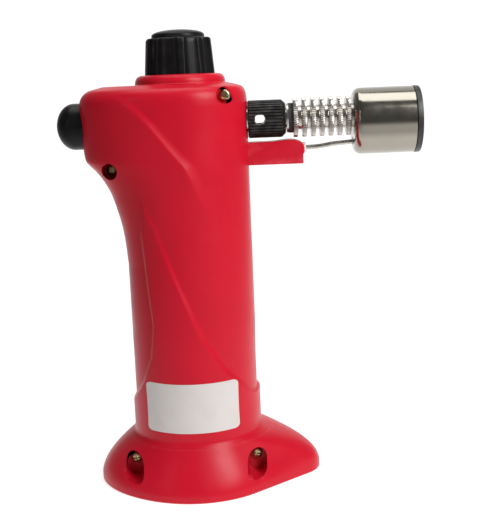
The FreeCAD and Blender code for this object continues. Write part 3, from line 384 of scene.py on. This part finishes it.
def outer_rows():
    """The skin from the foot up over the top and down inside the ring round the knob."""
    rows = [level(parted(foot_reach(0.0, 0.45)), 0.0), level(parted(foot_reach(0.45, 0.0)), 0.45)]
    for z in [1.2, 2.0, 2.5, 2.9, 3.4, *np.arange(4.0, FOOT_TOP - 0.9, 0.75)]:
        rows.append(level(parted(foot_reach(float(z), 0.0)), float(z)))
    edge, low = foot_reach(FOOT_TOP, 0.0), foot_reach(FOOT_TOP - 1.0, 0.0)
    for z in np.arange(FOOT_TOP - 1.5, HANDLE_TOP, 0.62):
        z = float(z)
        reach = handle_reach(z, 0.0)
        x = BODY_X + reach * np.cos(TURNS)
        reach = reach + rise(x, z)
        if z < FOOT_TOP + FOOT_BLEND:
            flare = edge + (edge - low) * (z - FOOT_TOP) if z > FOOT_TOP else foot_reach(z, 0.0)
            reach = 0.5 * (flare + reach + np.sqrt((flare - reach) ** 2 + 0.35))
        rows.append(level(parted(reach), z))
    for z, inset in flowing(TOP_LINE, 5):
        square = 1 - 0.3 * FRONT * min(1.0, (TOP - z) / 1.5)
        reach = handle_reach(HANDLE_TOP, 0.0) - inset * square * REAR_ROUND
        x = BODY_X + reach * np.cos(TURNS)
        fade = min(1.0, (158 - z) / 3 if z < 158 else 0.0)
        rows.append(level(parted(reach + rise(x, z) * fade), z))
    last = handle_reach(HANDLE_TOP, 0.0) - TOP_LINE[-1][1] * REAR_ROUND
    ring = ring_reach(RING_R + 0.5)
    for share, lift in ((0.12, 0.12), (0.3, 0.18), (0.6, 0.2), (1.0, 0.22)):
        rows.append(level(last + (ring - last) * share, TOP + lift * 0.6))
    shoulder, across, steps = 160.9, 2.7, 8
    profile = [(RING_R + 0.2, 160.28), (RING_R + 0.04, 160.5), (RING_R, 160.7), (RING_R, shoulder)]
    for i in range(1, steps + 1):
        t = math.pi / 2 * i / steps
        radius = RING_R - across * (1 - math.cos(t))
        profile.append((radius, shoulder + (RING_TOP - shoulder) * math.sin(t)))
    profile += [(RING_BORE + 0.3, RING_TOP), (RING_BORE + 0.1, RING_TOP - 0.1)]
    profile += [(RING_BORE, RING_TOP - 0.4), (RING_BORE, 161.8)]
    profile += [(RING_BORE, RING_FLOOR), (9.0, RING_FLOOR), (HUB_HOLE, RING_FLOOR), (HUB_HOLE, CEILING)]
    for radius, z in profile:
        rows.append(level(np.full(len(TURNS), radius), z, 0.0))
    return rows


def inner_rows():
    """The inside of the case, from the ceiling down to the open foot."""
    rows = [level(handle_reach(CEILING, 0.0) - 1.6 - WALL, CEILING)]
    for z in [156.5, 154.0, *np.arange(151.0, 21.0, -2.0)]:
        rows.append(level(handle_reach(float(z), WALL), float(z)))
    for z in [20.5, 16.0, 12.0, 8.0, 4.5, 2.5, 0.0]:
        rows.append(level(foot_reach(z, FOOT_WALL), z))
    return rows


def half_turns(side, rows, closed):
    """Points of rows that each span half a turn, and the quads between them."""
    count = len(TURNS)
    points = [(x, -side * y, z) for row in rows for x, y, z in row]
    faces = []
    for i in range(len(rows) if closed else len(rows) - 1):
        a, b = i * count, (i + 1) % len(rows) * count
        faces += [(a + j, a + j + 1, b + j + 1, b + j) for j in range(count - 1)]
    front = [i * count for i in range(len(rows))]
    return points, faces, front, [i + count - 1 for i in front]


def half_shell(name, side, rows):
    """One half of the housing, side -1 near and 1 far, closed on the plane where they meet."""
    points, faces, front, back = half_turns(side, rows, True)
    faces += [tuple(front), tuple(back)]
    return make(name, points, faces, 30.0)


def filled_half(name, side, rows):
    """The space that half takes up with its inside filled in."""
    points, faces, front, back = half_turns(side, rows, False)
    count = len(TURNS)
    faces += [tuple(range(count)), tuple(range(len(points) - count, len(points)))]
    faces.append(tuple(front + back[::-1]))
    return make(name, points, faces)


def drawn_in(rows):
    """The same rows, kept about half a millimetre under the skin."""
    return [
        [(BODY_X + (x - BODY_X) * UNDER_SKIN, y * UNDER_SKIN, z * UNDER_TOP) for x, y, z in row]
        for row in rows
    ]


def housing():
    """Both half shells, with the screw wells in the near one."""
    outside, inside = outer_rows(), inner_rows()
    halves = []
    for name, side in (("near", -1), ("far", 1)):
        half = half_shell(f"housing_{name}_shell", side, outside + inside)
        if side < 0:
            for well, (x, z, _, radius, drop) in WELLS.items():
                boss = oval(f"boss_{well}", x, z, -60, -0.05, radius + WELL_WALL, drop)
                solid = filled_half("solid", side, drawn_in(outside))
                boolean(boss, solid, "INTERSECT")
                boolean(half, boss, "UNION")
            for well, (x, z, seat, radius, drop) in WELLS.items():
                boolean(half, oval(f"well_{well}", x, z, -60, seat, radius, drop), "DIFFERENCE")
        boolean(half, rod("button_hole", (-60, 0, BUTTON_Z), 9.4, 30, 96), "DIFFERENCE")
        boolean(half, rod("burner_hole", (18, 0, BURNER_Z), 5.1, 20, 64), "DIFFERENCE")
        slot_side = ARM_HIGH[1] + 0.1
        slot = block("arm_slot", (18, -slot_side, ARM_LOW[2] - 0.1), (30, slot_side, 136.6))
        boolean(half, slot, "DIFFERENCE")
        smooth(half, 30.0)
        halves.append(half)
    return halves


# ---------------------------------------------------------------- fasteners and sticker


def cross_screw(name, x, z, seat, length=20.0):
    """A pan-head cross-recess screw lying along +Y, its head towards -Y."""
    head, wide = SCREW_HEAD, SCREW_R
    profile = [(-head, 0), (-head, wide * 0.45), (-head * 0.93, wide * 0.72)]
    profile += [(-head * 0.7, wide * 0.93), (-head * 0.4, wide), (0, wide), (0, SHANK_R)]
    profile += [(length - 2, SHANK_R), (length, 0)]
    screw = turned(name, profile, 40, "Z")
    for u, v in ((0.3, 1.45), (1.45, 0.3)):
        slot = [(-u, -v), (u, -v), (u, v), (-u, v)]
        ends = ((-head - 0.3, 1.08), (-head + 1.0, 0.72))
        rows = [[(a * k, b * k, w) for a, b in slot] for w, k in ends]
        boolean(screw, make("cross", *skin(rows)), "DIFFERENCE")
    spin = Matrix.Rotation(math.radians(23 * (x % 4)), 4, "Z")
    lie = Euler((math.radians(-90), 0, 0)).to_matrix().to_4x4()
    screw.data.transform(Matrix.Translation((x * MM, seat * MM, z * MM)) @ lie @ spin)
    smooth(screw)
    return screw


def sticker():
    """A blank label with rounded corners on the sleeve, its corners lifted by a hair."""
    middle_x, _, middle_z = middle("label_sticker")
    inner, thick, corner, sleeve = 26.24, 0.12, 2.0, 26.3
    half_w, half_h = 20.0, 10.0
    lean = math.asin((middle_x - BODY_X) / sleeve)
    columns, across = 60, []
    for i in range(41):
        v = -half_h + 2 * half_h * i / 40
        over = max(0.0, abs(v) - (half_h - corner))
        across.append((v, half_w - corner + math.sqrt(max(0.0, corner**2 - over**2))))
    layers = []
    for height in (0.0, thick):
        for v, w in across:
            row = []
            for j in range(columns + 1):
                u = w * (2 * j / columns - 1)
                lift = 0.25 * max(0.0, (abs(u) / half_w - 0.8) / 0.2) ** 2 * (abs(v) / half_h) ** 2
                turn = u / sleeve + lean
                r = inner + height + lift
                row.append((BODY_X + r * math.sin(turn), -r * math.cos(turn), middle_z + v))
            layers.append(row)
    rows, width = len(across), columns + 1
    points = [p for row in layers for p in row]
    faces = []
    for layer in (0, rows):
        for i in range(rows - 1):
            a, b = (layer + i) * width, (layer + i + 1) * width
            faces += [(a + j, a + j + 1, b + j + 1, b + j) for j in range(columns)]
    rim = [*range(width)] + [i * width + columns for i in range(1, rows)]
    rim += [(rows - 1) * width + j for j in reversed(range(columns))]
    rim += [i * width for i in reversed(range(1, rows - 1))]
    shift = rows * width
    for a, b in zip(rim, rim[1:] + rim[:1]):
        faces.append((a, b, b + shift, a + shift))
    return make("sticker_sheet", points, faces, 50.0)


# ---------------------------------------------------------------- knob and button

RIB_TURN = math.radians(-90 + 7.8)
RIBS, RIB_HALF = 10, 1.05
RIB_FOOT, RIB_HEIGHT = 160.6, 17.2
KNOB_TOP = corners("control_knob")[1][2]


def fluted(along, radius, angle):
    """The knob's outer skin: narrow ribs with shallow hollows between them."""
    if radius < 11.5 or along < 160.7:
        return radius
    pitch = 2 * math.pi / RIBS
    turn = (angle - RIB_TURN + pitch / 2) % pitch - pitch / 2
    across, reach = abs(turn) * radius, pitch / 2 * radius
    if across < RIB_HALF:
        return radius
    depth = 1.15 - 0.25 * (along - RIB_FOOT) / RIB_HEIGHT
    share = (reach - across) / (reach - RIB_HALF)
    return radius - depth * (1 - share**2.6)


def knob():
    """The fluted knob and the domed cap in its top."""
    profile = [(160.9, 3.6), (160.9, 9.5), (160.6, 11.4), (160.6, 13.9), (160.75, 14.15)]
    profile += [(161.0 + 15.9 * i / 12, 14.2 - 1.33 * i / 12) for i in range(13)]
    profile += [(177.25, 12.72), (177.55, 12.45), (177.7, 12.1), (177.75, 11.6), (KNOB_TOP, 11.0)]
    profile += [(KNOB_TOP, 10.35), (177.3, 10.35), (177.3, 3.6)]
    steps = RIBS * 32
    body = turned("knob_body", profile, steps, "Z", shape=fluted, sharp=50.0)
    dome = [(175.9, 0), (175.9, 8.3), (KNOB_TOP, 8.3), (KNOB_TOP, 10.3), (178.5, 10.38), (178.8, 10.3)]
    for i in range(1, 13):
        t = math.pi / 2 * i / 12
        dome.append((178.8 + 2.2 * math.sin(t), 10.3 * math.cos(t) ** 0.9 if i < 12 else 0.0))
    return body, turned("knob_dome", dome, 96, "Z", sharp=40.0)


def button():
    """The domed igniter button, open towards the plunger."""
    (tip, _, _), (end, radius, _) = corners("igniter_button")
    dome = 7.0
    quarter = np.linspace(0, math.pi / 2, 20)
    profile = [(tip + dome * (1 - math.cos(t)), radius * math.sin(t)) for t in quarter]
    profile += [(-40.0, radius), (end - 0.2, radius), (end, radius - 0.2), (end, radius - 1.5)]
    profile += [(-42.3, radius - 1.5), (-42.3, 0)]
    return turned("igniter_dome", profile, 96, "X", (0, 0, BUTTON_Z))


# ---------------------------------------------------------------- burner


TEETH = 64


def knurled(_, radius, angle):
    """Fine teeth round the rims of the fins."""
    if radius < 7.5:
        return radius
    share = angle * TEETH / (2 * math.pi) % 1
    return radius - 0.24 * abs(2 * share - 1) ** 1.3


def heat_sink():
    """The plated spacer with its knurled fins."""
    start, end = (corner[0] for corner in corners("heat_sink"))
    core, fin, fins, pitch = 4.75, 7.65, 7, 3.48
    profile = [(start, 3.8)]
    for i in range(fins):
        rear = start + pitch * i
        profile += [(rear, 5.2), (rear + 0.02, fin - 0.25), (rear + 0.2, fin), (rear + 1.55, fin)]
        profile += [(rear + 1.73, fin - 0.25), (rear + 1.75, 5.2), (rear + 2.05, core)]
        if i < fins - 1:
            profile += [(rear + 3.18, core)]
    profile += [(67.38, core), (67.38, 3.5), (end, 3.5), (end, 2.8), (50.1, 2.8), (50.1, 3.8)]
    return turned("heat_sink_fins", profile, TEETH * 8, "X", (0, 0, BURNER_Z), knurled, 38.0)


def flame_head():
    """The polished cup, with holes for the burner and the electrode wire."""
    (start, _, _), (end, outer, _) = corners("flame_head")
    wall, bend = 0.7, 3.0
    profile = [(start, 0), (start, outer - bend - 2)]
    profile += arc(start + bend, outer - bend, bend, 180, 90)
    profile += [(start + 8, outer + 0.02), (end - 6, outer), (end - 0.3, outer)]
    profile += [(end, outer - 0.25), (end, outer - wall)]
    profile += arc(start + bend, outer - bend, bend - wall, 90, 180)
    profile += [(start + wall, 0)]
    cup = turned("flame_cup", profile, 160, "X", (0, 0, HEAD_Z))
    boolean(cup, rod("stub_hole", (65, 0, BURNER_Z), 3.55, 5), "DIFFERENCE")
    boolean(cup, rod("wire_hole", (65, 0, 135.15), 1.6, 5), "DIFFERENCE")
    smooth(cup, 32.0)
    return cup


def head_ring():
    """The black ring in the open end of the flame head."""
    (rear, _, _), (face, outer, _) = corners("head_ring")
    bore, spigot = 11.45, 12.25
    profile = [(rear, bore), (rear, spigot), (91.52, spigot), (91.52, outer - 0.1), (91.62, outer)]
    profile += [(93.1, outer), (93.5, 12.98), (face, 12.7), (face, bore + 0.2), (93.5, bore)]
    return turned("head_end_ring", profile, 128, "X", (0, 0, HEAD_Z))


def electrode_arm():
    """The red arm under the burner, with its bores for the sleeve and the lead."""
    front, foot, half = ARM_HIGH[0], ARM_LOW[2], ARM_HIGH[1]
    side = [(18, foot + 0.4), (22, foot + 0.4), (24.6, foot), (47.4, foot), (47.4, foot + 3.8)]
    side += [(front, foot + 4.2)]
    side += [(front, 133.7), (47.6, 134.9), (46.9, 135.7), (45.7, 136.3), (44.2, 136.7), (42.4, 136.85)]
    side += [(40.6, 136.8), (38.6, 136.6), (36.4, 136.35), (33.5, 136.25), (30, 136.25), (18, 136.25)]
    rows = [[(x, y, z) for x, z in side] for y in (-half, half)]
    arm = bevelled(make("electrode_arm", *skin(rows)), 0.45, 50.0)
    boolean(arm, rod("sleeve_hole", (31, 0, LEAD_Z), 2.12, 20), "DIFFERENCE")
    boolean(arm, rod("lead_hole", (10, 0, LEAD_Z), 1.4, 25, 32), "DIFFERENCE")
    smooth(arm, 32.0)
    return arm


def electrode_wire():
    """The wire from the arm, through the back of the flame head, to the flame holder."""
    start = corners("electrode_wire")[0][0]
    stops = [(start, 0, LEAD_Z), (51, 0, LEAD_Z), (60, 0, 134.4)]
    stops += [(71, 0, 135.3), (78, 0, 137.2), (81.5, 0, 139.6)]
    return tube("spark_wire", flowing(stops, 12), 0.95)


# ---------------------------------------------------------------- materials


class Paint:
    """A procedural material: a Principled shader with nodes added to it by name."""

    def __init__(self, name, colour, rough, metal=0.0):
        self.material = bpy.data.materials.new(name)
        self.material.use_nodes = True
        self.tree = self.material.node_tree
        self.shader = self.tree.nodes["Principled BSDF"]
        self.shader.inputs["Base Color"].default_value = (*colour, 1.0)
        self.shader.inputs["Roughness"].default_value = rough
        self.shader.inputs["Metallic"].default_value = metal
        self.where = self.tree.nodes.new("ShaderNodeTexCoord").outputs["Object"]
        self.colour = colour
        self.rough = rough

    def node(self, kind, inputs=None, **settings):
        """Adds a node; an input that is a socket is linked, and any other is set."""
        node = self.tree.nodes.new(kind)
        for key, value in settings.items():
            setattr(node, key, value)
        for key, value in (inputs or {}).items():
            if isinstance(value, bpy.types.NodeSocket):
                self.tree.links.new(value, node.inputs[key])
            else:
                node.inputs[key].default_value = value
        return node

    def noise(self, size, stretch=(1, 1, 1), detail=3.0):
        """Noise whose features are about size millimetres, drawn out along the axes by stretch."""
        scale = [1.0 / (size * MM * k) for k in stretch]
        place = self.node("ShaderNodeMapping", {"Vector": self.where, "Scale": scale})
        field = {"Vector": place.outputs["Vector"], "Scale": 1.0, "Detail": detail, "Roughness": 0.55}
        return self.node("ShaderNodeTexNoise", field).outputs["Fac"]

    def ramp(self, value, low, high, start, stop):
        """Maps value from low to high onto start to stop, held at the ends."""
        spread = {"Value": value, "From Min": low, "From Max": high, "To Min": start, "To Max": stop}
        return self.node("ShaderNodeMapRange", spread).outputs["Result"]

    def tint(self, share, colour):
        """Blends the base colour towards another one by share."""
        sockets = {0: share, 6: (*self.colour, 1.0), 7: (*colour, 1.0)}
        base = self.shader.inputs["Base Color"]
        if base.is_linked:
            sockets[6] = base.links[0].from_socket
        mix = self.node("ShaderNodeMix", sockets, data_type="RGBA")
        self.tree.links.new(mix.outputs[2], base)
        return self

    def uneven(self, size, spread, stretch=(1, 1, 1)):
        """Lets the roughness wander by spread."""
        wander = self.ramp(self.noise(size, stretch), 0.3, 0.7, self.rough - spread, self.rough + spread)
        self.tree.links.new(wander, self.shader.inputs["Roughness"])
        return self

    def grain(self, size, depth, stretch=(1, 1, 1)):
        """Fine relief, depth in millimetres."""
        bump = {"Height": self.noise(size, stretch, 2.0), "Strength": 1.0, "Distance": depth * MM}
        normal = self.shader.inputs["Normal"]
        if normal.is_linked:
            bump["Normal"] = normal.links[0].from_socket
        self.tree.links.new(self.node("ShaderNodeBump", bump).outputs["Normal"], normal)
        return self

    def worn(self, colour, amount):
        """Rubs the outward edges towards a paler or darker colour, in broken patches."""
        edge = self.node("ShaderNodeNewGeometry").outputs["Pointiness"]
        patch = self.ramp(self.noise(3.0), 0.4, 0.65, 0.2, 1.0)
        rub = self.ramp(edge, 0.52, 0.58, 0.0, amount)
        return self.tint(self.arithmetic("MULTIPLY", rub, patch), colour)

    def arithmetic(self, operation, *values):
        """One step of arithmetic on values."""
        return self.node("ShaderNodeMath", dict(enumerate(values)), operation=operation).outputs[0]

    def blotch(self, size, low, high, amount, colour):
        """Tints soft patches about size millimetres across."""
        return self.tint(self.ramp(self.noise(size), low, high, 0.0, amount), colour)


def paints():
    """The finish of each material slot of the record."""
    made = {}
    red = Paint("red_plastic", (0.56, 0.006, 0.022), 0.34)
    red.shader.inputs["Specular IOR Level"].default_value = 0.2
    red.uneven(9.0, 0.05).grain(0.45, 0.006).grain(14.0, 0.05)
    red.blotch(22.0, 0.35, 0.7, 0.22, (0.40, 0.003, 0.015))
    made["red_plastic"] = red.worn((0.78, 0.10, 0.13), 0.35)
    black = Paint("black_plastic", (0.005, 0.0045, 0.0045), 0.34)
    black.shader.inputs["Specular IOR Level"].default_value = 0.16
    black.uneven(6.0, 0.07).grain(0.35, 0.006)
    black.blotch(5.0, 0.45, 0.75, 0.5, (0.013, 0.012, 0.011))
    made["black_plastic"] = black.worn((0.10, 0.095, 0.09), 0.5)
    ring = Paint("black_ring", (0.012, 0.011, 0.010), 0.4)
    made["black_ring"] = ring.uneven(4.0, 0.08).grain(0.25, 0.005).worn((0.12, 0.11, 0.10), 0.4)
    steel = Paint("polished_steel", (0.33, 0.308, 0.262), 0.15, 1.0)
    steel.uneven(5.0, 0.035).grain(0.12, 0.0008, (1, 60, 60)).grain(7.0, 0.015)
    made["polished_steel"] = steel.blotch(6.0, 0.5, 0.8, 0.3, (0.27, 0.25, 0.21))
    nickel = Paint("nickel_plate", (0.52, 0.495, 0.455), 0.24, 1.0)
    nickel.uneven(2.0, 0.08).grain(0.15, 0.002, (1, 8, 8))
    made["nickel_plate"] = nickel.blotch(2.5, 0.45, 0.75, 0.55, (0.36, 0.335, 0.30))
    brass = Paint("brass", (0.72, 0.50, 0.20), 0.26, 1.0)
    brass.uneven(2.0, 0.08).grain(0.15, 0.002)
    made["brass"] = brass.blotch(3.0, 0.45, 0.75, 0.5, (0.45, 0.27, 0.09))
    zinc = Paint("zinc_screws", (0.47, 0.37, 0.19), 0.30, 1.0)
    zinc.uneven(0.8, 0.1).grain(0.2, 0.004)
    zinc.blotch(1.1, 0.42, 0.66, 0.6, (0.34, 0.36, 0.22))
    made["zinc_screws"] = zinc.blotch(1.7, 0.52, 0.7, 0.45, (0.46, 0.27, 0.21))
    spring = Paint("spring_steel", (0.43, 0.405, 0.37), 0.46, 1.0)
    made["spring_steel"] = spring.uneven(1.0, 0.1).grain(0.1, 0.002).worn((0.75, 0.74, 0.72), 0.5)
    rubber = Paint("rubber", (0.018, 0.018, 0.019), 0.72)
    made["rubber"] = rubber.uneven(2.0, 0.1).grain(0.2, 0.02).worn((0.07, 0.07, 0.07), 0.5)
    tank = Paint("tank_plastic", (0.74, 0.75, 0.72), 0.38)
    tank.shader.inputs["Subsurface Weight"].default_value = 0.4
    tank.shader.inputs["Subsurface Radius"].default_value = (0.003, 0.003, 0.003)
    made["tank_plastic"] = tank.uneven(5.0, 0.06).grain(0.5, 0.01)
    ceramic = Paint("ceramic", (0.82, 0.79, 0.72), 0.3)
    ceramic.uneven(1.5, 0.1).grain(0.3, 0.006)
    made["ceramic"] = ceramic.blotch(0.5, 0.6, 0.72, 0.4, (0.5, 0.45, 0.38))
    paper = Paint("sticker_paper", (0.63, 0.595, 0.57), 0.55)
    paper.uneven(4.0, 0.06).grain(0.25, 0.012).grain(5.0, 0.03)
    made["sticker_paper"] = paper.blotch(7.0, 0.45, 0.75, 0.35, (0.54, 0.49, 0.45))
    return {name: paint.material for name, paint in made.items()}


def backdrop_paint():
    """Seamless white paper that glows behind the torch and falls off towards the front and the sides."""
    paper = Paint("seamless_paper", (0.5, 0.5, 0.5), 0.85)
    paper.shader.inputs["Specular IOR Level"].default_value = 0.1
    paper.shader.inputs["Emission Color"].default_value = (1.0, 1.0, 1.0, 1.0)
    split = paper.node("ShaderNodeSeparateXYZ", {"Vector": paper.where})
    ahead = paper.ramp(split.outputs["Y"], -0.17, -0.065, 0.0, 1.0)
    away = paper.arithmetic("ABSOLUTE", paper.arithmetic("SUBTRACT", split.outputs["X"], 0.025))
    fan = paper.arithmetic("MULTIPLY_ADD", split.outputs["Y"], -0.3, away)
    beside = paper.ramp(fan, 0.13, 0.34, 1.0, 0.0)
    glow = paper.ramp(paper.arithmetic("MULTIPLY", ahead, beside), 0.0, 1.0, 0.12, 0.74)
    paper.tree.links.new(glow, paper.shader.inputs["Emission Strength"])
    return paper.grain(2.0, 0.02).material


# ---------------------------------------------------------------- putting it together


def show(pieces, body, slot, *stands_for):
    """Lets the pieces ride on a body, take a slot's finish and stand for CAD nodes."""
    for piece in pieces:
        piece.data.materials.clear()
        piece.data.materials.append(finishes[slot])
        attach(piece, body)
    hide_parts(*stands_for)


finishes = paints()
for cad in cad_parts.values():
    for place in cad.material_slots:
        slot = place.material.name.split(".")[0] if place.material else ""
        place.material = finishes.get(slot, place.material)

show(housing(), "torch", "red_plastic", "housing_near", "housing_far")
show([sticker()], "torch", "sticker_paper", "label_sticker")
case = [cross_screw(f"screw_{name}", *well[:3]) for name, well in WELLS.items() if name != "rear"]
show(case, "torch", "zinc_screws", "case_screws")
short = cross_screw("screw_rear", *WELLS["rear"][:3], length=12.0)
show([short], "torch", "zinc_screws", "rear_screw")
wheel, dome = knob()
show([wheel], "knob", "black_plastic", "control_knob")
show([dome], "knob", "black_plastic", "knob_cap")
show([button()], "button", "black_plastic", "igniter_button")
show([heat_sink()], "torch", "nickel_plate", "heat_sink")
show([flame_head()], "torch", "polished_steel", "flame_head")
show([head_ring()], "torch", "black_ring", "head_ring")
show([electrode_arm()], "torch", "red_plastic", "electrode_holder")
show([electrode_wire()], "torch", "nickel_plate", "electrode_wire")


# ---------------------------------------------------------------- studio


def sweep():
    """A pale floor that curves up into a wall behind the torch."""
    line = [(-1.6, 0.0), (-0.8, 0.0), (0.0, 0.0), (0.5, 0.0)]
    line += [(0.5 + 0.5 * math.sin(t), 0.5 - 0.5 * math.cos(t)) for t in np.linspace(0.1, math.pi / 2, 16)]
    line += [(1.0, 1.2), (1.0, 2.2)]
    points = [(x, y, z - 0.0001) for y, z in line for x in (-2.5, 2.5)]
    faces = [(2 * i, 2 * i + 1, 2 * i + 3, 2 * i + 2) for i in range(len(line) - 1)]
    mesh = bpy.data.meshes.new("backdrop")
    mesh.from_pydata(points, [], faces)
    mesh.materials.append(backdrop_paint())
    obj = bpy.data.objects.new("backdrop", mesh)
    bpy.context.scene.collection.objects.link(obj)
    mesh.shade_smooth()
    return obj


def area_light(name, where, target, size, power):
    """A soft rectangular light at a place, turned to a target."""
    lamp = bpy.data.lights.new(name, "AREA")
    lamp.shape = "RECTANGLE"
    lamp.size, lamp.size_y = size
    lamp.energy = power
    obj = bpy.data.objects.new(name, lamp)
    bpy.context.scene.collection.objects.link(obj)
    obj.location = where
    obj.rotation_euler = (Vector(target) - Vector(where)).to_track_quat("-Z", "Y").to_euler()


def camera():
    """The camera, a little above the knob and looking slightly down."""
    eye = bpy.data.cameras.new("camera")
    eye.lens = 68.44
    eye.sensor_width = 36.0
    eye.clip_start = 0.01
    obj = bpy.data.objects.new("camera", eye)
    bpy.context.scene.collection.objects.link(obj)
    tilt = Matrix.Rotation(math.radians(90 - 10.4), 4, "X") @ Matrix.Rotation(math.radians(-2.3), 4, "Z")
    obj.matrix_world = Matrix.Translation((0.0246, -0.400, 0.1608)) @ tilt
    bpy.context.scene.camera = obj


world = bpy.data.worlds.new("studio")
world.use_nodes = True
sky = world.node_tree.nodes["Background"]
sky.inputs["Color"].default_value = (1.0, 1.0, 1.0, 1.0)
sky.inputs["Strength"].default_value = 0.12
bpy.context.scene.world = world
sweep()
area_light("key", (0.40, -0.40, 0.48), (0.0, 0.0, 0.12), (0.3, 0.42), 4.4)
area_light("top", (0.05, 0.05, 0.95), (0.03, 0.0, 0.15), (0.8, 0.5), 3.6)
area_light("edge_fill", (-0.42, -0.48, 0.36), (0.0, 0.0, 0.12), (0.05, 0.4), 0.15)
camera()
bpy.context.scene.view_settings.view_transform = "Standard"
